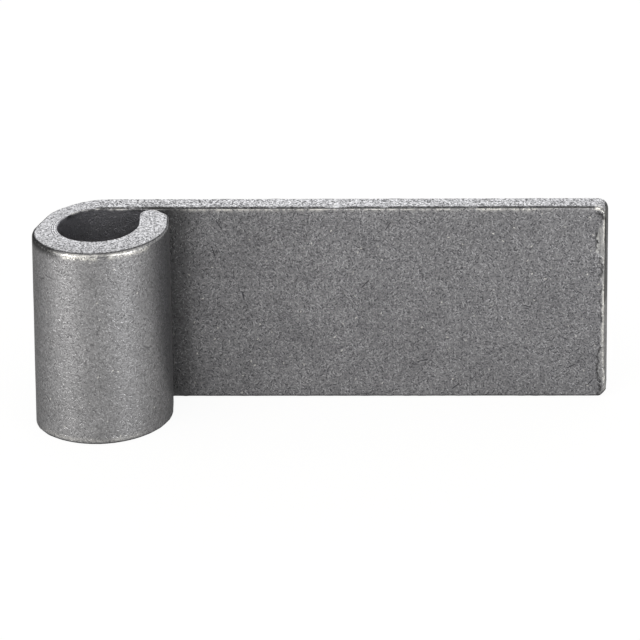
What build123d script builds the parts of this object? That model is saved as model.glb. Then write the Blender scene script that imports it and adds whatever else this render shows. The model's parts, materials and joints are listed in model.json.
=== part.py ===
"""Weld-on hinge leaf: a flat steel bar with one end rolled into an eye for the hinge pin.

The leaf stands on the lower edge of the bar. The origin is on the pin axis at that edge, the pin runs
along +Z, the strap runs along +X to its free end, and its weld face looks towards +Y.
"""

import os
from math import cos, radians, sin

from build123d import *

# Flat bar that the leaf is made from
bar_width = 40.0
bar_thickness = 5.0
edge_round = 0.4

# Strap, from the pin axis to its free end, which was sheared off with its front face left a little short
strap_reach = 97.2
end_slant = 0.65
end_corner_round = 2.0
end_corner_cut = 1.4
end_corner_ease = 0.6

# Rolled eye: the bore takes the pin with a clearance all round, and the bar curls on round it
pin_diameter = 16.0
pin_clearance = 0.2
curl_sweep = 273.0
bore_radius = pin_diameter / 2 + pin_clearance
barrel_radius = bore_radius + bar_thickness

# Tip of the curl: a short straight run that turns back to the strap and stops just clear of it
tip_gap = 0.3
tip_slant = 14.0
tip_inner_round = 2.4
tip_outer_round = 1.5

# Headings seen along the pin axis: the curl starts where the strap touches the bore, square to +X
quarter_turn = 90.0
curl_end = quarter_turn + curl_sweep
tip_heading = curl_end + quarter_turn
tip_end_heading = tip_heading - quarter_turn - tip_slant
tip_end_width = bar_thickness / cos(radians(tip_slant))
tip_end_rise = max(0, tip_end_width * sin(radians(tip_end_heading)))

os.makedirs("parts", exist_ok=True)

with BuildPart() as hinge_strap:
    # Plan of the bar: along the front face, round the bore, across the tip, and back round the barrel
    with BuildSketch() as plan:
        with BuildLine():
            front_face = Line((strap_reach - end_slant, bore_radius), (0, bore_radius))
            bore = CenterArc((0, 0), bore_radius, quarter_turn, curl_sweep)
            tip_reach = front_face.position_at(1).Y - tip_gap - tip_end_rise - bore.position_at(1).Y
            tip_inner = PolarLine(bore @ 1, tip_reach, tip_heading, length_mode=LengthMode.VERTICAL)
            tip_end = PolarLine(tip_inner @ 1, tip_end_width, tip_end_heading)
            barrel = CenterArc((0, 0), barrel_radius, curl_end, -curl_sweep)
            tip_outer = Line(tip_end @ 1, barrel @ 0)
            weld_face = Line(barrel @ 1, (strap_reach, barrel_radius))
            free_end = Line(weld_face @ 1, front_face @ 0)
        make_face()
        fillet(plan.vertices().sort_by_distance(tip_end @ 0)[0], tip_inner_round)
        fillet(plan.vertices().sort_by_distance(tip_end @ 1)[0], tip_outer_round)
    extrude(amount=bar_width)

    # The free end's upper corner is rounded off, and its lower corner is cut off and the cut eased
    end_face = hinge_strap.faces().sort_by(Axis.X)[-1]
    fillet(end_face.edges().sort_by(Axis.Z)[-1], end_corner_round)
    end_face = hinge_strap.faces().sort_by(Axis.X)[-1]
    chamfer(end_face.edges().sort_by(Axis.Z)[0], end_corner_cut)
    corner_face = hinge_strap.faces().sort_by_distance((strap_reach, (bore_radius + barrel_radius) / 2, 0))[0]
    fillet(corner_face.edges().sort_by(SortBy.LENGTH)[-2:], end_corner_ease)

    # The bar's rolled edge round follows the outline of both sides, and goes on round the free end
    sides = hinge_strap.faces().filter_by(Axis.Z)
    fillet(sides.edges().sort_by(Axis.X)[:-2], edge_round)

hinge_strap.part.label = "hinge_strap"
export_step(hinge_strap.part, "parts/hinge_strap.step")
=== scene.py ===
"""Looks of a weld-on hinge leaf: a flat steel bar whose end is rolled into an eye, in bare tumbled steel."""

import json
from math import cos, pi, radians, sin, tan
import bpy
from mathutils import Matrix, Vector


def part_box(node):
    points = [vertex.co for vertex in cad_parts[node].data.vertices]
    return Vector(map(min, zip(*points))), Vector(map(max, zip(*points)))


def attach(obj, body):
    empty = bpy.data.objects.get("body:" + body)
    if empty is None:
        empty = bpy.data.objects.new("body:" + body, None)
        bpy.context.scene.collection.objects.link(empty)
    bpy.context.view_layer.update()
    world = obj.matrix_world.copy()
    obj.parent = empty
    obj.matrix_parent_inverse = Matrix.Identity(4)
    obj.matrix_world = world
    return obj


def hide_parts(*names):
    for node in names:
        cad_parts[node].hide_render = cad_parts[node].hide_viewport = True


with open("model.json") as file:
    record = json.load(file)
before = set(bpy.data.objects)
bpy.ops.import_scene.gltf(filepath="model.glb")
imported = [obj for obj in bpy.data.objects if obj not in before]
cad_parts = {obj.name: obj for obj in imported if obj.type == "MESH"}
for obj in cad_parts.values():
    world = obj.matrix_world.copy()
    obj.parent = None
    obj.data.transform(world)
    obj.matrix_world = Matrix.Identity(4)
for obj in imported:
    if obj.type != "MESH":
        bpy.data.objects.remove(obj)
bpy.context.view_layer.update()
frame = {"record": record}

from types import SimpleNamespace

import bpy
import numpy as np
from bpy.props import FloatProperty, FloatVectorProperty, PointerProperty
from mathutils import Matrix, Vector, noise

bl_info = {
    "name": "Weld-on Hinge Leaf",
    "version": (1, 0, 0),
    "blender": (4, 5, 0),
    "location": "View3D > Sidebar > Hinge Leaf",
    "description": "Builds a rolled-eye hinge leaf in bare steel on its CAD frame, and a studio round it",
    "category": "Add Mesh",
}

MM = 0.001
STRAP_NODE = "hinge_strap"

# The leaf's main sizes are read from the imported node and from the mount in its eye
STRAP_LOW, STRAP_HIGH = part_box(STRAP_NODE)
PIN_EYE = next(mount for mount in frame["record"]["mounts"] if mount["name"] == "pin_eye")
BORE_RADIUS = PIN_EYE["dims"]["r_mm"] * MM
BAR_THICKNESS = STRAP_HIGH[1] - BORE_RADIUS
BAR_WIDTH = STRAP_HIGH[2] - STRAP_LOW[2]
STRAP_REACH = STRAP_HIGH[0]

# Angles round the pin from +X: the start of the curl, the turn over which the strap becomes the eye, the
# short axis of its oval, its flat and that flat's spread, the spread of its far side, and the fade to the tip
CURL_START = pi / 2
EYE_FADE = radians(35)
OVAL_ANGLE = radians(145.6)
FLAT_ANGLE = radians(166)
FLAT_SPREAD = radians(20)
FAR_SPREAD = radians(60)
TIP_FADE = radians(60)

# Free end: the length that the shear marked, the round of its sharp front edge, the length of its bent lip,
# and the height of its foot
END_ZONE = 3.2 * MM
BURR_ROUND = 0.15 * MM
LIP_LENGTH = 2.2 * MM
FOOT_HEIGHT = 8.0 * MM

# Depth over which rolling moves the eye's upper edges, and depths of the hollows and nicks in the bar
DRAW_DEPTH = 5.0 * MM
HOLLOW_DEPTH = 0.03 * MM
NICK_DEPTH = 0.1 * MM

# Mesh steps: the free end's zone, the rest of the strap, the curl, the tip and its corners, and a section
END_STEPS = 28
END_CROWDING = 1.7
STRAP_STEPS = 136
CURL_STEPS = 124
TIP_STEPS = 12
TIP_ROUND_STEPS = 12
EDGE_STEPS = 4
WIDTH_STEPS = 108
THICKNESS_STEPS = 16

# Marked stretches of the eye, in degrees round the pin: start, end and fade
# Runs of the painted sheen under the eye's top edge
FIRST_RUN = (245, 271, 4)
SECOND_RUN = (286, 317, 6)
# Darker patches under the eye's top edge, and painted shade on its top in front
LEFT_DARKENING = (180, 232, 12)
GAP_DARKENING = (275, 281, 4)
FRONT_SHADE = (215, 300, 20)
RIM_GLINTS = (80, 150, 10)
LOW_LINE = (225, 300, 15)
RIDGES = (150, 205, 15)

# Marked stretches of the strap, as distances from the pin axis
# The stretch behind the tip gets a painted shadow, the corner ones painted shade beside the eye, and the top
# darkens towards the free end
BEHIND_TIP = (8.2 * MM, 12.4 * MM, 1.4 * MM)
CORNER_LINE = (14.0 * MM, 15.0 * MM, 1.0 * MM)
CORNER_START = (11.5 * MM, 13.5 * MM)
CORNER_SHADE = (19.0 * MM, 15.0 * MM)
STRAP_SHADE = (46.0 * MM, 15.0 * MM)
END_DARKENING = (86 * MM, 92 * MM)
# The first and the third of these place the painted highlight along the strap's upper front edge
EDGE_HIGHLIGHT_FADE = (88 * MM, 80 * MM)
BORE_WALL_FADE = (9.5 * MM, 8.0 * MM)
EDGE_HIGHLIGHT_START = 9.0 * MM
RIM_LINE_REACH = 8.0 * MM
GLINT_REACH = 7.0 * MM

# Strokes on the steel: spacing, half width, half length, rarity, and a shift that sets each kind apart
PALE_STROKES = (0.8 * MM, 0.11 * MM, 0.36 * MM, 0.45, 0.0)
DARK_STROKES = (0.85 * MM, 0.11 * MM, 0.36 * MM, 0.5, 0.371)
SCRATCHES = (6.5 * MM, 0.14 * MM, 1.2 * MM, 0.8, 0.737)
SPECKS = (2.1 * MM, 0.13 * MM, 0.26 * MM, 0.9, 0.173)

# Sizes of the steel's other texture
COARSE_GRAIN = 0.62 * MM
FINE_GRAIN = 0.34 * MM
CLOUD_SIZE = 8 * MM
STREAK_SIZE = 0.4 * MM
RIDGE_PITCH = 0.42 * MM
BUMP_DEPTH = 0.06 * MM

# Studio: half the floor's side, its drop below the leaf, the fill light, the point that the lamps face, and
# their places, sizes and colours. The low ones end below the leaf's top, so that it doesn't flare in them.
FLOOR_HALF = 3.0
FLOOR_DROP = 0.05 * MM
FILL_STRENGTH = 0.6
LAMP_TARGET = (0.04, 0.0, 0.02)
LAMPS = {
    "back": ((0.04, 0.56, 0.26), (0.9, 0.35), (1.0, 1.0, 1.0)),
    "front": ((0.0, -0.4, 0.6), (1.2, 0.9), (1.0, 0.96, 0.88)),
    "left": ((-0.45, -0.40, 0.02), (0.4, 0.036), (1.0, 0.98, 0.95)),
    "right": ((0.47, -0.42, 0.02), (0.4, 0.036), (1.0, 1.0, 1.0)),
}

# The camera's aim near the middle of the leaf, and how far it then moves to its own right and up
CAMERA_AIM = Vector((45, 8, 20)) * MM
CAMERA_ASIDE = -3.65 * MM
CAMERA_LIFT = -3.17 * MM
SENSOR_WIDTH = 36.0


def length_prop(name, description, default):
    """A size that the user can change, in scene units of length."""
    return FloatProperty(
        name=name, description=description, default=default, min=0.0, unit="LENGTH", precision=5
    )


def angle_prop(name, description, degrees):
    """An angle that the user can change."""
    return FloatProperty(name=name, description=description, default=radians(degrees), subtype="ANGLE")


def power_prop(name, description, default):
    """A lamp's power that the user can change."""
    return FloatProperty(name=name, description=description, default=default, min=0.0, unit="POWER")


def colour_prop(name, description, default):
    """A colour that the user can change."""
    return FloatVectorProperty(
        name=name, description=description, default=default, min=0.0, max=1.0, size=3, subtype="COLOR"
    )


class StrapSizes(bpy.types.PropertyGroup):
    """Sizes of the bar, its eye and the tip of its curl."""

    bar_thickness: length_prop("Bar Thickness", "Thickness of the flat bar", BAR_THICKNESS)
    bar_width: length_prop("Bar Width", "Width of the flat bar, along the pin", BAR_WIDTH)
    strap_reach: length_prop("Strap Reach", "From the pin axis to the strap's free end", STRAP_REACH)
    bore_radius: length_prop("Bore Radius", "Radius of the eye's bore", BORE_RADIUS)
    edge_round: length_prop("Edge Round", "Rolled round on the bar's edges", 0.4 * MM)
    barrel_edge_round: length_prop("Barrel Edge Round", "Round on the eye's upper outer edge", 0.7 * MM)
    bore_edge_round: length_prop("Bore Edge Round", "Round on the eye's squeezed inner edges", 0.15 * MM)
    eye_oval: length_prop("Eye Oval", "How far the rolled eye is out of round", 0.5 * MM)
    eye_flat: length_prop("Eye Flat", "Flat left outside on the eye's far side", 0.8 * MM)
    eye_skew: length_prop("Eye Skew", "How far the roll leans over the bar's width", 0.4 * MM)
    far_skew: length_prop("Far Skew", "How much more the roll leans on its far side", 0.6 * MM)
    eye_rise: length_prop("Eye Rise", "How far rolling squeezes the eye's inner edge up", 0.25 * MM)
    eye_draw: length_prop("Eye Draw", "How far rolling draws the eye's outer edge in", 0.3 * MM)
    end_corner_round: length_prop("End Corner Round", "Round on the free end's upper corner", 2.0 * MM)
    end_corner_cut: length_prop("End Corner Cut", "Size of the free end's cut-off lower corner", 1.4 * MM)
    end_slant: length_prop("End Slant", "How much shorter the shear left the front face", 0.65 * MM)
    end_foot: length_prop("End Foot", "How much of that slant is missing at the lower corner", 0.4 * MM)
    lap_width: length_prop("Lap Width", "Width of the shear's lap on the front face", 1.05 * MM)
    lap_height: length_prop("Lap Height", "Height of the shear's lap", 0.08 * MM)
    curl_sweep: angle_prop("Curl Sweep", "Turn of the bar round the bore", 273)
    tip_gap: length_prop("Tip Gap", "Gap between the tip of the curl and the strap", 0.3 * MM)
    tip_slant: angle_prop("Tip Slant", "Slant of the tip's end", 18)
    tip_inner_round: length_prop("Tip Inner Round", "Round on the tip's corner at the bore", 2.4 * MM)
    tip_outer_round: length_prop("Tip Outer Round", "Round on the tip's outer corner", 2.1 * MM)
    tip_swell: length_prop("Tip Swell", "How much the bend thickened the bar at the tip", 0.6 * MM)


class SteelFinish(bpy.types.PropertyGroup):
    """Colours and roughness of the bare steel."""

    steel_colour: colour_prop("Steel", "High places of the grain", (0.298, 0.298, 0.31))
    grain_colour: colour_prop("Grain", "Low places of the grain", (0.053, 0.053, 0.058))
    # The cut sides' own speckled finish, made paler to paint in the light from above
    cut_colour_with_top_light: colour_prop("Cut Side", "High places of the bar's cut sides", (0.75, 0.75, 0.77))
    cut_shade_colour: colour_prop("Cut Side Shade", "Low places of the bar's cut sides", (0.09, 0.09, 0.095))
    lap_colour: colour_prop("Shear Lap", "Metal smeared by the shear", (0.34, 0.34, 0.33))
    rolled_colour: colour_prop("Rolled Face", "Faces of the eye, smoothed by the roll", (0.325, 0.325, 0.322))
    bore_colour: colour_prop("Bore", "Smooth wall of the eye's bore", (0.38, 0.38, 0.408))
    # Colour of the pale specks and of the painted highlights
    wear_and_painted_light_colour: colour_prop("Worn", "Rubbed high spots and edges", (0.67, 0.66, 0.62))
    # Dark colour of the painted shade: the painted dark lines at the edges, the painted shade and shadows,
    # and darker patches
    painted_shade_colour: colour_prop("Creases", "Dark lines at the edges, and soil", (0.02, 0.02, 0.02))
    glance_colour: colour_prop("Glance", "Reflection at a glancing angle", (0.38, 0.38, 0.38))
    roughness: FloatProperty(
        name="Roughness", description="Roughness of the faces", default=0.43, min=0, max=1, subtype="FACTOR"
    )


class StudioSettings(bpy.types.PropertyGroup):
    """Floor, lamps and camera."""

    floor_colour: colour_prop("Floor", "Floor and surroundings", (1.0, 1.0, 1.0))
    back_power: power_prop("Back Lamp", "Power of the lamp behind", 1.1)
    front_power: power_prop("Front Lamp", "Power of the lamp in front", 4.5)
    left_power: power_prop("Left Lamp", "Power of the lamp at the left", 1.9)
    right_power: power_prop("Right Lamp", "Power of the lamp at the right", 1.8)
    focal_length: FloatProperty(
        name="Focal Length", description="Lens of the camera", default=231.8, unit="CAMERA"
    )
    camera_distance: length_prop("Camera Distance", "From the camera to the middle of the leaf", 0.8)
    camera_pitch: angle_prop("Pitch", "Camera's angle of looking down", 24.22)
    camera_yaw: angle_prop("Yaw", "Camera's turn to the left of the strap", 2.66)
    camera_roll: angle_prop("Roll", "Camera's roll", -1.18)


def window(values, start, end, fade):
    """1 between start and end, falling to 0 over a fade outside them."""
    return np.clip(np.minimum(values - start, end - values) / fade + 1, 0, 1)


def ramp(values, low, high):
    """Goes from 0 at low to 1 at high, and stops there."""
    return np.clip((values - low) / (high - low), 0, 1)


def bell(values, middle, spread):
    """1 at the middle, falling away on both sides."""
    return np.exp(-(((values - middle) / spread) ** 2))


def noise_at(points, size, offset):
    """Smooth noise from -1 to 1 at each point, with features of about the given size."""
    shift = Vector((offset, offset, offset))
    return np.array([noise.noise(Vector(point) / size + shift) for point in points])


def along_axis(points, axis):
    """The points moved onto one axis, so that noise there changes along it alone."""
    line = np.zeros_like(points)
    line[:, axis] = points[:, axis]
    return line


def round_inset(distance, radius):
    """How far a rounded edge stands back at a distance from the end that it rounds."""
    left = np.clip(radius - distance, 0, radius)
    return radius - np.sqrt(radius**2 - left**2)


def chamfer_inset(distance, size):
    """How far an eased chamfer stands back at a distance from the end that it cuts."""
    left = size - distance
    return 0.5 * (left + np.hypot(left, 0.15 * size))


def heading(angle):
    """Unit vector in plan at an angle from +X."""
    return np.array((cos(angle), sin(angle)))


def arc_points(centre, radius, start, sweep, steps):
    """Points along an arc in plan, without its first one."""
    angles = start + sweep * np.linspace(0, 1, steps + 1)[1:]
    return centre + radius * np.column_stack((np.cos(angles), np.sin(angles)))


def line_points(start, end, steps):
    """Points along a line in plan, without its first one."""
    return start + np.outer(np.linspace(0, 1, steps + 1)[1:], end - start)


def strap_plan(sizes, from_end):
    """Front and back of the free end, sheared a little off square, and of the plain strap up to the curl."""
    bore = sizes.bore_radius
    barrel = bore + sizes.bar_thickness
    reach = sizes.strap_reach
    front_x = reach - sizes.end_slant - from_end / END_ZONE * (END_ZONE - sizes.end_slant)
    front_end = np.column_stack((front_x, bore + round_inset(from_end, BURR_ROUND)))
    back_end = np.column_stack((reach - from_end, barrel - round_inset(from_end, sizes.edge_round)))
    rest_x = np.linspace(reach - END_ZONE, 0, STRAP_STEPS)[1:]
    front_rest = np.column_stack((rest_x, np.full(len(rest_x), bore)))
    back_rest = np.column_stack((rest_x, np.full(len(rest_x), barrel)))
    return np.concatenate((front_end, front_rest)), np.concatenate((back_end, back_rest))


def curl_plan(sizes, turned):
    """Front and back of the curl, a little out of round, with a slight flat outside and a thicker end."""
    barrel = sizes.bore_radius + sizes.bar_thickness
    angles = CURL_START + turned
    around = np.column_stack((np.cos(angles), np.sin(angles)))
    rolled = ramp(turned, 0, EYE_FADE)
    oval = -sizes.eye_oval * rolled * np.cos(2 * (angles - OVAL_ANGLE))
    flat = sizes.eye_flat * rolled * bell(angles, FLAT_ANGLE, FLAT_SPREAD)
    swell = sizes.tip_swell * ramp(turned, sizes.curl_sweep - TIP_FADE, sizes.curl_sweep)
    return around * (sizes.bore_radius + oval - swell)[:, None], around * (barrel + oval - flat)[:, None]


def tip_plan(sizes, front_start, back_start):
    """Front and back of the straight tip, which ends in a slanted face just clear of the strap."""
    curl_end = CURL_START + sizes.curl_sweep
    along = heading(curl_end + pi / 2)
    across = heading(curl_end)
    end_angle = curl_end - sizes.tip_slant
    end_width = (sizes.bar_thickness + sizes.tip_swell) / cos(sizes.tip_slant)
    end_rise = max(0, end_width * sin(end_angle))
    tip_top = sizes.bore_radius - sizes.tip_gap - end_rise
    inner_corner = front_start + along * (tip_top - front_start[1]) / along[1]
    outer_corner = inner_corner + heading(end_angle) * end_width
    inner_turn = pi / 2 + sizes.tip_slant
    outer_turn = pi / 2 - sizes.tip_slant
    inner_tangent = inner_corner - along * sizes.tip_inner_round * tan(inner_turn / 2)
    outer_tangent = outer_corner - along * sizes.tip_outer_round * tan(outer_turn / 2)
    inner_centre = inner_tangent + across * sizes.tip_inner_round
    outer_centre = outer_tangent - across * sizes.tip_outer_round
    front_line = line_points(front_start, inner_tangent, TIP_STEPS)
    back_line = line_points(back_start, outer_tangent, TIP_STEPS)
    front_arc = arc_points(inner_centre, sizes.tip_inner_round, curl_end + pi, -inner_turn, TIP_ROUND_STEPS)
    back_arc = arc_points(outer_centre, sizes.tip_outer_round, curl_end, outer_turn, TIP_ROUND_STEPS)
    return np.concatenate((front_line, front_arc)), np.concatenate((back_line, back_arc))


def plan_of_bar(sizes):
    """Front and back face of the bar in plan, point for point from the free end to the tip of the curl.

    With them come how far the bar's lower and upper side stand back at the free end's corners, how much each
    point belongs to the eye, from 0 to 1, and its angle round the pin.
    """
    share = np.linspace(0, 1, END_STEPS) ** END_CROWDING
    from_end = share * END_ZONE
    turned = np.linspace(0, sizes.curl_sweep, CURL_STEPS + 1)[1:]
    strap_front, strap_back = strap_plan(sizes, from_end)
    curl_front, curl_back = curl_plan(sizes, turned)
    tip_front, tip_back = tip_plan(sizes, curl_front[-1], curl_back[-1])

    strap_turned = np.zeros(len(strap_front))
    tip_turned = np.full(len(tip_front), sizes.curl_sweep)
    angle = CURL_START + np.concatenate((strap_turned, turned, tip_turned))
    eye = np.clip((angle - CURL_START) / EYE_FADE, 0, 1)
    cuts = np.zeros((len(angle), 2))
    cuts[:END_STEPS, 0] = chamfer_inset(from_end, sizes.end_corner_cut) * (1 - share)
    cuts[:END_STEPS, 1] = round_inset(from_end, sizes.end_corner_round)
    front = np.concatenate((strap_front, curl_front, tip_front))
    back = np.concatenate((strap_back, curl_back, tip_back))
    return front, back, cuts, eye, angle


def edge_steps(size):
    """Half of an edge round: its turn from the wide face, and how far it is in from each of its two faces."""
    turn = np.linspace(pi / 4, 0, EDGE_STEPS + 1)
    return turn, size * (1 - np.cos(turn)), size * (1 - np.sin(turn))


def section_profile(thickness, width, cuts, front_rounds, back_rounds):
    """One section of the bar as (across, up, turn) rows in order round it, from the front face's low edge.

    turn is the angle in the edge rounds, 0 at the wide faces and a right angle at the narrow sides. The
    rounds are given for the low and the high edge of each wide face.
    """
    low = cuts[0]
    high = width - cuts[1]
    faces = []
    for low_round, high_round in (front_rounds, back_rounds):
        turn, low_face, low_side = edge_steps(low_round)
        _, high_face, high_side = edge_steps(high_round)
        straight = np.linspace(low + low_round, high - high_round, WIDTH_STEPS + 1)[1:-1]
        inset = np.concatenate((low_face, np.zeros(len(straight)), high_face[::-1]))
        up = np.concatenate((low + low_side, straight, high - high_side[::-1]))
        faces.append((inset, up, np.concatenate((turn, np.zeros(len(straight)), turn[::-1]))))
    sides = []
    for front_round, back_round in zip(front_rounds, back_rounds):
        turn, front_in, front_across = edge_steps(front_round)
        _, back_in, back_across = edge_steps(back_round)
        straight = np.linspace(front_round, thickness - back_round, THICKNESS_STEPS + 1)[1:-1]
        across = np.concatenate((front_across, straight, thickness - back_across[::-1]))
        inset = np.concatenate((front_in, np.zeros(len(straight)), back_in[::-1]))
        sides.append((across, inset, pi / 2 - np.concatenate((turn, np.zeros(len(straight)), turn[::-1]))))
    front_face = np.column_stack(faces[0])[:-1]
    top_side = np.column_stack((sides[1][0], high - sides[1][1], sides[1][2]))[:-1]
    back_face = np.column_stack((thickness - faces[1][0], faces[1][1], faces[1][2]))[:0:-1]
    low_side = np.column_stack((sides[0][0], low + sides[0][1], sides[0][2]))[:0:-1]
    return np.concatenate((front_face, top_side, back_face, low_side))


def bar_sections(sizes):
    """Sections of the bar from the free end to the tip, each as rows of numbers, one row per point.

    A row holds the point, its turn in the edge rounds, its place across the bar from the front face, the
    bar's thickness there, the share of the eye, the angle round the pin, and the cut at the upper corner.
    """
    front, back, cuts, eye, angle = plan_of_bar(sizes)
    thickness = np.linalg.norm(back - front, axis=1)
    step = (back - front) / thickness[:, None]
    drawn = eye * (1 - 0.7 * ramp(angle, angle[-1] - TIP_FADE, angle[-1]))
    bore_rounds = sizes.edge_round + eye * (sizes.bore_edge_round - sizes.edge_round)
    barrel_rounds = sizes.edge_round + drawn * (sizes.barrel_edge_round - sizes.edge_round)
    barrel_rounds = np.minimum(barrel_rounds, 0.4 * thickness)
    sections = []
    for number, base in enumerate(front):
        front_rounds = (bore_rounds[number], bore_rounds[number])
        back_rounds = (sizes.edge_round, barrel_rounds[number])
        profile = section_profile(thickness[number], sizes.bar_width, cuts[number], front_rounds, back_rounds)
        across, up, turn = profile.T
        plan = base + step[number] * across[:, None]
        fixed = (thickness[number], eye[number], angle[number], cuts[number, 1])
        sections.append(np.column_stack((plan, up, turn, across, np.tile(fixed, (len(profile), 1)))))
    return sections


def grid_fill(loop, long_count, short_count):
    """Inner points of a cap over one section, and its faces as rows of numbers.

    Numbers below the loop's length are the loop's own points, and the rest are the new ones in order.
    """
    names = np.zeros((long_count + 1, short_count + 1), dtype=int)
    names[:, 0] = np.arange(long_count + 1)
    names[long_count, :] = long_count + np.arange(short_count + 1)
    names[::-1, short_count] = long_count + short_count + np.arange(long_count + 1)
    names[0, ::-1] = (2 * long_count + short_count + np.arange(short_count + 1)) % len(loop)
    new_names = len(loop) + np.arange((long_count - 1) * (short_count - 1))
    names[1:-1, 1:-1] = new_names.reshape(long_count - 1, -1)
    up = np.linspace(0, 1, long_count + 1)[1:-1, None, None]
    over = np.linspace(0, 1, short_count + 1)[None, 1:-1, None]
    front = loop[names[1:-1, 0]][:, None]
    back = loop[names[1:-1, short_count]][:, None]
    low = loop[names[0, 1:-1]][None]
    high = loop[names[long_count, 1:-1]][None]
    corners = (
        (1 - up) * (1 - over) * loop[names[0, 0]]
        + (1 - up) * over * loop[names[0, short_count]]
        + up * (1 - over) * loop[names[long_count, 0]]
        + up * over * loop[names[long_count, short_count]]
    )
    inner = (1 - over) * front + over * back + (1 - up) * low + up * high - corners
    faces = np.stack((names[:-1, :-1], names[1:, :-1], names[1:, 1:], names[:-1, 1:]), axis=-1)
    return inner.reshape(-1, loop.shape[1]), faces.reshape(-1, 4)


def join_sections(sections):
    """One table of the sections' rows and the two caps' inner rows, and the faces between them."""
    long_count = WIDTH_STEPS + 2 * EDGE_STEPS
    short_count = THICKNESS_STEPS + 2 * EDGE_STEPS
    loop_count = len(sections[0])
    last = len(sections) - 1
    rings = np.arange(last)[:, None] * loop_count
    next_rings = rings + loop_count
    here = np.arange(loop_count)[None]
    after = (here + 1) % loop_count
    walls = np.stack((rings + here, next_rings + here, next_rings + after, rings + after), axis=-1)
    rows = list(sections)
    faces = [walls.reshape(-1, 4)]
    total = len(sections) * loop_count
    for ring, turned in ((0, False), (last, True)):
        inner, cap = grid_fill(sections[ring], long_count, short_count)
        cap = np.where(cap < loop_count, cap + ring * loop_count, cap - loop_count + total)
        faces.append(cap[:, ::-1] if turned else cap)
        inner[:, 3] = pi / 2
        rows.append(inner)
        total += len(inner)
    return np.concatenate(rows), np.concatenate(faces)


def strap_mesh(sizes):
    """The bar's skin as points and faces, with what the marks on it need to know of each point.

    That is its turn in the edge rounds, its place across the bar, along it and up it, the bar's thickness
    there, the share of the eye, the angle round the pin, and the cut at the upper corner.
    """
    table, faces = join_sections(bar_sections(sizes))
    along, _, up, turn, across, thickness, eye, angle, cut = table.T.copy()
    at = SimpleNamespace(along=along, up=up, turn=turn, across=across, thickness=thickness)
    at.eye = eye
    at.angle = angle
    at.cut = cut
    points = table[:, :3]

    # Rolling squeezes the eye's inner edge up, draws its outer edge in, and leaves the roll a little askew
    share = np.clip(across / thickness, 0, 1)
    near_top = np.clip(1 - (sizes.bar_width - up) / DRAW_DEPTH, 0, 1) ** 2
    points[:, 2] += eye * near_top * (sizes.eye_rise * (1 - share) - sizes.eye_draw * share)
    skew = sizes.eye_skew + sizes.far_skew * bell(angle, pi, FAR_SPREAD)
    points[:, 0] -= eye * skew * (1 - up / sizes.bar_width)

    # The shear cut the foot of the free end more squarely than the rest of it
    near_end = ramp(along, sizes.strap_reach - END_ZONE, sizes.strap_reach - sizes.end_slant)
    foot = ramp(up, FOOT_HEIGHT, 0.25 * FOOT_HEIGHT)
    points[:, 0] += sizes.end_foot * near_end * foot * (1 - share)
    return points, faces, at


def new_piece(name, points, faces):
    """A smooth-shaded mesh object."""
    mesh = bpy.data.meshes.new(name)
    mesh.from_pydata(points.tolist(), [], faces.tolist())
    mesh.polygons.foreach_set("use_smooth", np.ones(len(faces), dtype=bool))
    mesh.update()
    piece = bpy.data.objects.new(name, mesh)
    bpy.context.collection.objects.link(piece)
    return piece


def mark_points(piece, name, values):
    """Stores one number per point, for the material."""
    layer = piece.data.attributes.new(name, "FLOAT", "POINT")
    layer.data.foreach_set("value", np.asarray(values, dtype=np.float32))


def find_sides(mesh, sizes, at):
    """Adds to what is known of each point: its place and normal in the mesh, and which sides it lies on."""
    points = np.empty(3 * len(mesh.vertices))
    normals = np.empty(3 * len(mesh.vertices))
    mesh.vertices.foreach_get("co", points)
    mesh.vertex_normals.foreach_get("vector", normals)
    at.points = points.reshape(-1, 3)
    at.normals = normals.reshape(-1, 3)
    at.degrees = np.degrees(at.angle)
    at.from_top = sizes.bar_width - at.up
    at.on_strap = at.eye == 0
    at.upper = at.up > 0.5 * sizes.bar_width
    at.outer = at.across > 0.5 * at.thickness
    at.inner = at.across < sizes.edge_round
    at.on_front = at.across < 0.5 * sizes.edge_round
    at.on_top = (at.turn > 1.3) & at.upper


def shear_marks(sizes, at):
    """What the shear left at the free end, each as an amount from 0 to 1.

    It is the lap smeared on the front face, the line at its ragged edge, which is painted as its shadow, the
    burr and the bent lip on the top corner, which get painted highlights, the notch under that lip, which
    gets painted shade, and the cut end itself, which is painted with shade.
    """
    from_end = sizes.strap_reach - sizes.end_slant - at.along
    from_top = at.from_top - at.cut
    on_front = (at.across < 0.6 * sizes.edge_round) & at.on_strap
    height = along_axis(at.points, 2)
    low = ramp(at.up, 13 * MM, 9 * MM)
    wide = window(from_top, 5 * MM, 9 * MM, 1.5 * MM)
    ragged = 0.3 * noise_at(height, 2.6 * MM, 3.3) + 0.4 * noise_at(height, 1.0 * MM, 7.7)
    ragged += 0.3 * noise_at(at.points, 0.5 * MM, 2.2)
    lap_edge = sizes.lap_width * (0.62 + 0.85 * wide + 0.5 * low + ragged)
    broken_line = np.maximum(ramp(noise_at(height, 2.3 * MM, 9.1), -0.3, 0.1), low)
    broken_burr = ramp(noise_at(height, 1.7 * MM, 1.3), -0.5, 0.2)
    near_lip = (from_end < LIP_LENGTH) & (at.across < 3 * sizes.edge_round) & at.on_strap
    lip_fade = ramp(from_end, LIP_LENGTH, 0.8 * LIP_LENGTH)
    notch_fade = ramp(from_end, LIP_LENGTH, 0.6 * LIP_LENGTH)
    return SimpleNamespace(
        lap=ramp(lap_edge - from_end, 0, 0.12 * MM) * on_front * (1 - 0.45 * low),
        line=bell(from_end - lap_edge, 0.1 * MM, 0.2 * MM) * on_front * broken_line,
        burr=bell(from_end, 0.2 * MM, 0.2 * MM) * on_front * broken_burr,
        lip=bell(from_top, 0.18 * MM, 0.26 * MM) * near_lip * lip_fade,
        notch=bell(from_top, 1.1 * MM, 0.4 * MM) * near_lip * notch_fade,
        end=(from_end < -0.02 * MM) * 1.0,
    )


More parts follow.
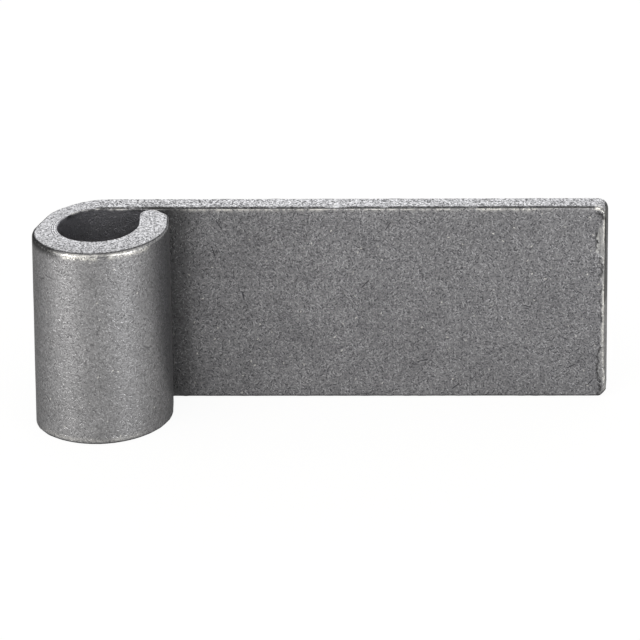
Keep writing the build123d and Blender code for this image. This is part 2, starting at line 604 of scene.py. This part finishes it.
def dent_strap(mesh, sizes, at, shear):
    """Moves the mesh: slight hollows in the faces, nicks along the edges, and what the shear left."""
    hollow = np.abs(noise_at(at.points, 7 * MM, 1.5)) * (at.turn < 0.1)
    nick = np.clip(noise_at(at.points, 1.4 * MM, 5.1), 0, 1) * bell(at.turn, 0.8, 0.45)
    raised = sizes.lap_height * (shear.lap + shear.burr + 2 * shear.lip - shear.notch)
    moved = raised - HOLLOW_DEPTH * hollow - NICK_DEPTH * nick
    mesh.vertices.foreach_set("co", (at.points + at.normals * moved[:, None]).ravel())
    mesh.update()


def burnished_sheen_band(at):
    """A painted sheen under the eye's top edge, where its round catches the light, burnished there too, in
    two patchy runs.
    """
    runs = window(at.degrees, *FIRST_RUN) + window(at.degrees, *SECOND_RUN)
    patchy = ramp(noise_at(at.points, 1.6 * MM, 8.4), -0.5, 0.2)
    on_barrel = at.outer * (at.eye > 0.5) * (at.turn < 0.9)
    return bell(at.from_top, 0.9 * MM, 0.45 * MM) * on_barrel * runs * patchy


def rubbed_edge_highlight(at):
    """A painted highlight along the strap's rubbed upper front edge, in dots and dashes, and less so near the
    free end.
    """
    length = along_axis(at.points, 0)
    edge = 0.9 * bell(at.turn, 0.25, 0.28) * (at.turn > 0.02)
    face = 0.3 * ramp(at.from_top, 1.0 * MM, 0.4 * MM) * (at.turn < 0.05)
    dashes = 0.6 + 0.4 * ramp(noise_at(length, 9 * MM, 3.7), -0.3, 0.2)
    dots = 0.35 + 0.85 * ramp(noise_at(length, 0.9 * MM, 5.7), -0.25, 0.1)
    fading = 0.2 + 0.8 * ramp(at.along, *EDGE_HIGHLIGHT_FADE)
    on_edge = at.upper & at.on_strap & at.inner & (at.along > EDGE_HIGHLIGHT_START)
    return (edge + face) * dashes * dots * fading * on_edge


def rim_glints(at):
    """Glints on the bore's upper rim, at its back."""
    rim = window(at.degrees, *RIM_GLINTS) * (at.along < GLINT_REACH) * at.upper * at.inner
    scattered = ramp(noise_at(at.points, 0.8 * MM, 6.3), 0.15, 0.4)
    return rim * bell(at.from_top, 0, 0.35 * MM) * scattered


def low_line(at):
    """A faint pale line above the eye's lower edge."""
    return 0.3 * window(at.degrees, *LOW_LINE) * at.outer * bell(at.up, 0.9 * MM, 0.25 * MM)


def painted_tip_shadow(at):
    """Painted shadow on the strap's front face right behind the tip."""
    return 0.4 * window(at.along, *BEHIND_TIP) * at.on_strap * ramp(at.across, 0.9 * MM, 0.3 * MM)


def eye_darkening_and_shade(at):
    """Darker patches under the eye's top edge beside and between the runs of painted sheen, and painted shade
    on its top in front.
    """
    left = 0.9 * window(at.degrees, *LEFT_DARKENING) * ramp(at.from_top, 2.3 * MM, 0.9 * MM)
    between = 0.4 * window(at.degrees, *GAP_DARKENING) * ramp(at.from_top, 1.6 * MM, 0.4 * MM)
    # Painted shade on the eye's top in front
    front = 0.13 * window(at.degrees, *FRONT_SHADE) * ramp(at.across, 0.5 * MM, 3.5 * MM)
    return (left + between) * at.outer * (at.turn < 1.1) + front * at.on_top


def strap_shade_and_darkening(at):
    """Painted shade on the strap in the corner beside the eye, and a painted shadow on its top behind the
    tip; its top is also darker towards the free end.
    """
    # Painted shadow on the strap's top behind the tip
    tip_top_shadow = 0.45 * window(at.along, *BEHIND_TIP) * ramp(at.across, 3.2 * MM, 0.6 * MM)
    tip_top_shadow = tip_top_shadow * at.on_strap * (at.turn > 1.0) * at.upper
    # Painted shade on the front face in the corner beside the eye, where the eye blocks the light
    corner = 0.4 * ramp(at.along, *CORNER_SHADE) + 0.2 * ramp(at.along, *STRAP_SHADE)
    corner = corner + 0.1 * window(at.along, *CORNER_LINE)
    corner = corner * ramp(at.along, *CORNER_START) * at.on_front * at.on_strap
    return tip_top_shadow + corner + 0.13 * ramp(at.along, *END_DARKENING) * at.on_top


def painted_edge_shade_lines(at, glints):
    """Painted shade: dark lines in the edge rounds, on the strap's top along its front edge, and under the
    bore's rim.
    """
    wavy = ramp(noise_at(at.points, 2.2 * MM, 4.4), -0.75, -0.25)
    high = np.where(at.on_strap, bell(at.turn, 0.95, 0.32), bell(at.turn, 1.12, 0.22))
    high = high * (0.65 + 0.35 * wavy)
    low = ramp(at.turn, 0.05, 0.35) * ramp(at.turn, 1.5, 1.2)
    top_line = bell(at.across, 0.5 * MM, 0.38 * MM) * (at.turn > 0.7) * at.upper * (at.eye < 0.3) * wavy
    rim_line = 0.85 * bell(at.from_top, 0.2 * MM, 0.4 * MM) * (at.turn < 1.0) * at.inner
    rim_line = rim_line * (at.along < RIM_LINE_REACH) * (at.degrees < RIM_GLINTS[1]) * (1 - glints)
    return np.maximum(np.maximum(np.where(at.upper, high, low), top_line), rim_line)


def dress_strap(strap, sizes, at):
    """Dents the strap's mesh, and stores the marks that its steel reads."""
    find_sides(strap.data, sizes, at)
    shear = shear_marks(sizes, at)
    dent_strap(strap.data, sizes, at, shear)
    glints = rim_glints(at)
    # Painted shadow on the strap's front face behind the tip
    tip_shadow = painted_tip_shadow(at)
    # Painted highlights on the upper outer edges, the strap's front edge, the eye's band, the bore's rim, the
    # burr and the lip, and a pale line low on the eye
    outer_edge_highlight = 0.25 * bell(at.turn, 0.3, 0.3) * (at.turn > 0.02) * at.upper * at.outer
    highlights_and_wear = rubbed_edge_highlight(at) * (1 - tip_shadow) + outer_edge_highlight + burnished_sheen_band(at) + glints + low_line(at)
    # Painted highlights on the burr and the lip
    highlights_and_wear = highlights_and_wear + 0.6 * shear.burr + shear.lip
    # Painted shade and shadows on the eye and the strap, with some darker patches
    shade_and_darkening = eye_darkening_and_shade(at) + tip_shadow + strap_shade_and_darkening(at)
    # Painted shadow along the lap's ragged edge, and painted shade in the notch and on the cut end
    shade_and_darkening = shade_and_darkening + 0.9 * shear.line + 0.8 * shear.notch + shear.end * (0.25 + 0.3 * at.upper)
    marks = {
        "edge_highlights_and_wear": np.clip(highlights_and_wear, 0, 1),
        "painted_edge_shade": painted_edge_shade_lines(at, glints) * (1 - shear.lip),
        # Painted dark lines in the edge rounds, standing in for shade and dark reflections
        "shade_and_darkening": np.clip(shade_and_darkening, 0, 1),
        "shear_lap": np.maximum(shear.lap, shear.end),
        "cut_side": ramp(at.turn, 1.0, 1.4) * (1 - 0.6 * shear.end),
        "bore_gap": at.across,
        "bore_wall": at.on_front * np.where(at.on_strap, ramp(at.along, *BORE_WALL_FADE), 1),
        "rolled_face": at.eye * np.maximum(at.outer, at.turn > 0.9),
        "rolled_ridges": window(at.degrees, *RIDGES) * window(at.across, 0.4 * MM, 1.3 * MM, 0.25 * MM),
    }
    for name, values in marks.items():
        mark_points(strap, name, values)


def add_node(tree, kind, inputs=None, **settings):
    """Adds a node, sets its properties, and fills or links its inputs by name or number."""
    made = tree.nodes.new(kind)
    for name, value in settings.items():
        setattr(made, name, value)
    for name, value in (inputs or {}).items():
        if isinstance(value, bpy.types.NodeSocket):
            tree.links.new(value, made.inputs[name])
        else:
            made.inputs[name].default_value = value
    return made


def add_noise(tree, coords, size, detail=2.0, rough=0.5, distortion=0.0):
    """Noise with features of about the given size, from 0 to 1."""
    inputs = {"Vector": coords, "Scale": 1 / size, "Detail": detail}
    inputs.update({"Roughness": rough, "Distortion": distortion})
    return add_node(tree, "ShaderNodeTexNoise", inputs).outputs["Fac"]


def add_math(tree, operation, first, second=0.0, clamp=False):
    """One sum of two numbers or sockets."""
    inputs = {0: first, 1: second}
    return add_node(tree, "ShaderNodeMath", inputs, operation=operation, use_clamp=clamp).outputs[0]


def add_range(tree, value, low, high, to_low=0.0, to_high=1.0):
    """Maps a socket from one range to another, and stops at its ends."""
    inputs = {"Value": value, "From Min": low, "From Max": high, "To Min": to_low, "To Max": to_high}
    return add_node(tree, "ShaderNodeMapRange", inputs).outputs["Result"]


def add_mix(tree, amount, first, second):
    """Mixes two colours by a socket."""
    inputs = {"Factor": amount, 6: first, 7: second}
    return add_node(tree, "ShaderNodeMix", inputs, data_type="RGBA").outputs[2]


def add_sum(tree, *parts):
    """Adds up (socket, weight) pairs."""
    total = None
    for socket, weight in parts:
        part = add_math(tree, "MULTIPLY", socket, weight)
        total = part if total is None else add_math(tree, "ADD", total, part)
    return total


def read_mark(tree, name):
    """The number that the mesh stores at its points under a name."""
    return add_node(tree, "ShaderNodeAttribute", attribute_name=name).outputs["Fac"]


def with_alpha(colour):
    """A colour with full alpha, for a node's socket."""
    return (*colour, 1.0)


def add_vector_math(tree, operation, first, second=(0, 0, 0)):
    """One vector sum, as its node."""
    return add_node(tree, "ShaderNodeVectorMath", {0: first, 1: second}, operation=operation)


def lay_flat(tree, vector, normal):
    """A vector without its part along the surface's normal."""
    along = add_vector_math(tree, "DOT_PRODUCT", vector, normal).outputs["Value"]
    lift = add_node(tree, "ShaderNodeVectorMath", {0: normal, "Scale": along}, operation="SCALE").outputs[0]
    return add_vector_math(tree, "SUBTRACT", vector, lift).outputs[0]


def add_strokes(tree, surface, spacing, half_width, half_length, rarity, shift):
    """Short straight strokes that lie on the surface in random directions, 1 on a stroke and 0 between them.

    surface is a pair of sockets, the place on the surface and its normal.
    """
    coords, normal = surface
    shifted = add_vector_math(tree, "ADD", coords, (shift, shift, shift)).outputs[0]
    cells = add_node(tree, "ShaderNodeTexVoronoi", {"Vector": shifted, "Scale": 1 / spacing})
    away = add_vector_math(tree, "SUBTRACT", shifted, cells.outputs["Position"]).outputs[0]
    away = lay_flat(tree, away, normal)
    random = add_vector_math(tree, "SUBTRACT", cells.outputs["Color"], (0.5, 0.5, 0.5)).outputs[0]
    direction = add_vector_math(tree, "NORMALIZE", lay_flat(tree, random, normal)).outputs[0]
    reach = add_vector_math(tree, "DOT_PRODUCT", away, direction).outputs["Value"]
    distance = add_vector_math(tree, "DOT_PRODUCT", away, away).outputs["Value"]
    aside = add_math(tree, "SUBTRACT", distance, add_math(tree, "MULTIPLY", reach, reach))
    thin = add_range(tree, aside, half_width**2, 0.3 * half_width**2)
    short = add_range(tree, add_math(tree, "ABSOLUTE", reach), half_length, 0.6 * half_length)
    chosen = add_node(tree, "ShaderNodeSeparateColor", {"Color": cells.outputs["Color"]}).outputs[1]
    stroke = add_math(tree, "MULTIPLY", thin, short)
    return add_math(tree, "MULTIPLY", stroke, add_range(tree, chosen, rarity, rarity + 0.1))


def steel_texture(tree):
    """What the steel's colour and bump share: speckle of two sizes, strokes, scratches, specks and ridges."""
    texture = add_node(tree, "ShaderNodeTexCoord").outputs
    surface = (texture["Object"], texture["Normal"])
    ridge = add_math(tree, "MULTIPLY", read_mark(tree, "bore_gap"), 2 * pi / RIDGE_PITCH)
    ridge = add_math(tree, "MULTIPLY", add_math(tree, "SINE", ridge), read_mark(tree, "rolled_ridges"))
    return SimpleNamespace(
        coords=texture["Object"],
        coarse=add_range(tree, add_noise(tree, texture["Object"], COARSE_GRAIN, 1.0, 0.5, 1.5), 0.3, 0.7),
        fine=add_range(tree, add_noise(tree, texture["Object"], FINE_GRAIN, 1.0, 0.6), 0.3, 0.7),
        pale=add_strokes(tree, surface, *PALE_STROKES),
        dark=add_strokes(tree, surface, *DARK_STROKES),
        scratch=add_strokes(tree, surface, *SCRATCHES),
        speck=add_strokes(tree, surface, *SPECKS),
        ridge=ridge,
    )


def tumbled_grain(tree, steel):
    """Height of the faces' grain, from 0 to 1: speckle with short pale and dark strokes and scratches."""
    speckle = ((steel.coarse, 0.4), (steel.fine, 0.5))
    strokes = ((steel.pale, 0.6), (steel.dark, -0.5), (steel.scratch, -0.8))
    return add_math(tree, "ADD", add_sum(tree, *speckle, *strokes), 0.02, clamp=True)


def face_colour(tree, steel, grain, rolled, finish):
    """Colour of the wide faces: cloudy grain, smoother on the eye and in its bore, smeared at the end."""
    low = with_alpha(finish.grain_colour)
    face = add_mix(tree, grain, low, with_alpha(finish.steel_colour))
    cloud = add_noise(tree, steel.coords, CLOUD_SIZE, 3.0, 0.6)
    face = add_mix(tree, add_range(tree, cloud, 0.35, 0.7, 0.0, 0.27), face, low)
    face = add_mix(tree, rolled, face, with_alpha(finish.rolled_colour))
    upright = add_vector_math(tree, "MULTIPLY", steel.coords, (1, 1, 0.15)).outputs[0]
    streaks = add_range(tree, add_noise(tree, upright, STREAK_SIZE), 0.35, 0.65, 0.2, 0.75)
    smeared = add_math(tree, "MULTIPLY", read_mark(tree, "shear_lap"), streaks)
    face = add_mix(tree, smeared, face, with_alpha(finish.lap_colour))
    bore = add_math(tree, "MULTIPLY", read_mark(tree, "bore_wall"), 0.85)
    return add_mix(tree, bore, face, with_alpha(finish.bore_colour))


def cut_side_colour(tree, steel, rolled, finish):
    """Colour of the bar's cut sides: pale and speckled, paler to paint in the light from above, calmer on the
    eye, with ridges beside the bore.
    """
    grain = ((steel.coarse, 0.4), (steel.fine, 0.6), (steel.ridge, 0.35))
    speckle = add_sum(tree, *grain, (steel.pale, 0.5), (steel.dark, -0.7))
    speckle = add_range(tree, speckle, 0.2, 0.8)
    calm = add_math(tree, "MULTIPLY", add_math(tree, "SUBTRACT", 0.6, speckle), rolled)
    speckle = add_math(tree, "ADD", speckle, calm)
    return add_mix(tree, speckle, with_alpha(finish.cut_shade_colour), with_alpha(finish.cut_colour_with_top_light))


def wear_and_painted_light_colour(tree, steel, highlights_and_wear, base, finish):
    """The steel's colour with pale specks, painted highlights on polished edges, the painted dark lines
    beside them, and painted shade with darker patches.
    """
    wear_and_highlight = with_alpha(finish.wear_and_painted_light_colour)
    shade_tone = with_alpha(finish.painted_shade_colour)
    broken = add_range(tree, steel.coarse, 0.0, 0.4, 0.3, 1.0)
    # Painted dark lines at the edges, broken up
    edge_shade = add_math(tree, "MULTIPLY", read_mark(tree, "painted_edge_shade"), broken)
    patchy = add_range(tree, steel.fine, 0.0, 0.6, 0.55, 1.0)
    # Painted shade and shadows, with some darker patches, broken up a little
    shade_and_darkening = add_math(tree, "MULTIPLY", read_mark(tree, "shade_and_darkening"), patchy)
    base = add_mix(tree, add_math(tree, "MULTIPLY", steel.speck, 0.62), base, wear_and_highlight)
    # Painted highlights on the edges and bands
    base = add_mix(tree, highlights_and_wear, base, wear_and_highlight)
    base = add_mix(tree, edge_shade, base, shade_tone)
    return add_mix(tree, shade_and_darkening, base, shade_tone)


def steel_bump(tree, steel):
    """Normal of the steel's fine relief."""
    speckle = ((steel.coarse, 0.4), (steel.fine, 0.4), (steel.ridge, 0.5))
    strokes = ((steel.pale, 0.4), (steel.dark, -0.6), (steel.scratch, -1.0))
    height = add_sum(tree, *speckle, *strokes)
    inputs = {"Strength": 0.5, "Distance": BUMP_DEPTH, "Height": height}
    return add_node(tree, "ShaderNodeBump", inputs).outputs["Normal"]


def make_steel(finish):
    """Bare tumbled steel: speckled and stroked faces, cut sides painted pale, polished edges with painted
    highlights, and painted dark lines and shade.
    """
    material = bpy.data.materials.new("bare_steel_tumbled")
    material.use_nodes = True
    tree = material.node_tree
    tree.nodes.clear()
    steel = steel_texture(tree)
    grain = tumbled_grain(tree, steel)
    rolled = add_math(tree, "MULTIPLY", read_mark(tree, "rolled_face"), 0.2)
    face = face_colour(tree, steel, grain, rolled, finish)
    cut = cut_side_colour(tree, steel, rolled, finish)
    base = add_mix(tree, read_mark(tree, "cut_side"), face, cut)
    dotted = add_range(tree, steel.coarse, 0.15, 0.6)
    # Painted highlights, broken into dots, on edges that are also polished
    highlights_and_wear = add_math(tree, "MULTIPLY", read_mark(tree, "edge_highlights_and_wear"), dotted)
    rough = add_range(tree, grain, 0.0, 1.0, finish.roughness + 0.07, finish.roughness - 0.07)
    rough = add_math(tree, "SUBTRACT", rough, add_math(tree, "MULTIPLY", highlights_and_wear, 0.12))
    inputs = {
        "Base Color": wear_and_painted_light_colour(tree, steel, highlights_and_wear, base, finish),
        "Metallic": 1.0,
        "Roughness": rough,
        "Specular Tint": with_alpha(finish.glance_colour),
        "Normal": steel_bump(tree, steel),
    }
    shader = add_node(tree, "ShaderNodeBsdfPrincipled", inputs)
    add_node(tree, "ShaderNodeOutputMaterial", {"Surface": shader.outputs["BSDF"]})
    return material


class HINGE_OT_strap(bpy.types.Operator):
    """Builds the rolled bar in bare steel, in the place of its CAD solid"""

    bl_idname = "hinge_leaf.strap"
    bl_label = "Rolled Strap"
    bl_options = {"REGISTER", "UNDO"}

    def execute(self, context):
        sizes = context.scene.strap_sizes
        points, faces, at = strap_mesh(sizes)
        strap = new_piece("hinge_strap_skin", points, faces)
        dress_strap(strap, sizes, at)
        strap.data.materials.append(make_steel(context.scene.steel_finish))
        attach(strap, "root")
        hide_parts(STRAP_NODE)
        return {"FINISHED"}


def floor_paint(colour):
    """White paint that keeps a faint shadow for the camera, and glows a little in the steel."""
    paint = bpy.data.materials.new("floor_white")
    paint.use_nodes = True
    tree = paint.node_tree
    tree.nodes.clear()
    matte = add_node(tree, "ShaderNodeBsdfDiffuse", {"Color": with_alpha(colour)})
    glow = add_node(tree, "ShaderNodeEmission", {"Color": with_alpha(colour), "Strength": 1.0})
    rays = add_node(tree, "ShaderNodeLightPath").outputs
    mirrored = add_math(tree, "MAXIMUM", rays["Is Glossy Ray"], rays["Is Transmission Ray"])
    amount = add_sum(tree, (rays["Is Camera Ray"], 0.92), (mirrored, 0.15))
    mixed = add_node(tree, "ShaderNodeMixShader", {0: amount, 1: matte.outputs[0], 2: glow.outputs[0]})
    add_node(tree, "ShaderNodeOutputMaterial", {"Surface": mixed.outputs[0]})
    return paint


def add_floor(colour):
    """A plain pale floor just under the leaf."""
    half = FLOOR_HALF
    points = np.array(((-half, -half, 0), (half, -half, 0), (half, half, 0), (-half, half, 0)))
    floor = new_piece("studio_floor", points, np.array(((0, 1, 2, 3),)))
    floor.location.z = -FLOOR_DROP
    floor.data.materials.append(floor_paint(colour))


def set_world(colour):
    """White all round to the camera and in the steel, and a plain fill light on surfaces."""
    world = bpy.data.worlds.new("studio_world")
    bpy.context.scene.world = world
    world.use_nodes = True
    tree = world.node_tree
    tree.nodes.clear()
    rays = add_node(tree, "ShaderNodeLightPath").outputs
    shown = add_math(tree, "MAXIMUM", rays["Is Camera Ray"], rays["Is Glossy Ray"])
    shown = add_math(tree, "MAXIMUM", shown, rays["Is Transmission Ray"])
    seen = add_node(tree, "ShaderNodeBackground", {"Color": with_alpha(colour), "Strength": 1.0})
    fill = add_node(tree, "ShaderNodeBackground", {"Color": with_alpha(colour), "Strength": FILL_STRENGTH})
    mixed = add_node(tree, "ShaderNodeMixShader", {0: shown, 1: fill.outputs[0], 2: seen.outputs[0]})
    add_node(tree, "ShaderNodeOutputWorld", {"Surface": mixed.outputs[0]})


def add_lamp(name, place, size, colour, power):
    """A soft rectangular lamp that faces the strap."""
    light = bpy.data.lights.new(name, "AREA")
    light.shape = "RECTANGLE"
    light.size = size[0]
    light.size_y = size[1]
    light.energy = power
    light.color = colour
    lamp = bpy.data.objects.new(name, light)
    lamp.location = place
    lamp.rotation_euler = (Vector(LAMP_TARGET) - Vector(place)).to_track_quat("-Z", "Y").to_euler()
    bpy.context.collection.objects.link(lamp)


def add_camera(studio):
    """The camera, at the photograph's viewing angle."""
    pitch = studio.camera_pitch
    yaw = studio.camera_yaw
    roll = studio.camera_roll
    forward = Vector((-sin(yaw) * cos(pitch), cos(yaw) * cos(pitch), -sin(pitch)))
    level_right = Vector((cos(yaw), sin(yaw), 0))
    level_up = level_right.cross(forward)
    right = cos(roll) * level_right + sin(roll) * level_up
    up = cos(roll) * level_up - sin(roll) * level_right
    place = CAMERA_AIM - forward * studio.camera_distance + right * CAMERA_ASIDE + up * CAMERA_LIFT
    lens = bpy.data.cameras.new("studio_camera")
    lens.sensor_width = SENSOR_WIDTH
    lens.lens = studio.focal_length
    camera = bpy.data.objects.new("studio_camera", lens)
    turn = Matrix((right, up, -forward)).transposed().to_4x4()
    camera.matrix_world = Matrix.Translation(place) @ turn
    bpy.context.collection.objects.link(camera)
    bpy.context.scene.camera = camera


class HINGE_OT_studio(bpy.types.Operator):
    """Sets a pale floor, soft lamps and the camera round the leaf"""

    bl_idname = "hinge_leaf.studio"
    bl_label = "Studio"
    bl_options = {"REGISTER", "UNDO"}

    def execute(self, context):
        studio = context.scene.studio_settings
        powers = {
            "back": studio.back_power,
            "front": studio.front_power,
            "left": studio.left_power,
            "right": studio.right_power,
        }
        add_floor(studio.floor_colour)
        set_world(studio.floor_colour)
        for name, (place, size, colour) in LAMPS.items():
            add_lamp(name + "_lamp", place, size, colour, powers[name])
        add_camera(studio)
        context.scene.view_settings.view_transform = "Standard"
        return {"FINISHED"}


class HINGE_PT_leaf(bpy.types.Panel):
    """Sizes, finish and studio of the hinge leaf"""

    bl_idname = "HINGE_PT_leaf"
    bl_label = "Hinge Leaf"
    bl_space_type = "VIEW_3D"
    bl_region_type = "UI"
    bl_category = "Hinge Leaf"

    def draw(self, context):
        layout = self.layout
        scene = context.scene
        groups = {
            HINGE_OT_strap: (scene.strap_sizes, scene.steel_finish),
            HINGE_OT_studio: (scene.studio_settings,),
        }
        for operator, settings in groups.items():
            layout.operator(operator.bl_idname)
            for group in settings:
                for name in group.__annotations__:
                    layout.prop(group, name)


CLASSES = (StrapSizes, SteelFinish, StudioSettings, HINGE_OT_strap, HINGE_OT_studio, HINGE_PT_leaf)


def register():
    for item in CLASSES:
        bpy.utils.register_class(item)
    bpy.types.Scene.strap_sizes = PointerProperty(type=StrapSizes)
    bpy.types.Scene.steel_finish = PointerProperty(type=SteelFinish)
    bpy.types.Scene.studio_settings = PointerProperty(type=StudioSettings)


def unregister():
    del bpy.types.Scene.studio_settings
    del bpy.types.Scene.steel_finish
    del bpy.types.Scene.strap_sizes
    for item in reversed(CLASSES):
        bpy.utils.unregister_class(item)


def main():
    register()
    bpy.ops.hinge_leaf.strap()
    bpy.ops.hinge_leaf.studio()


if __name__ == "__main__":
    main()
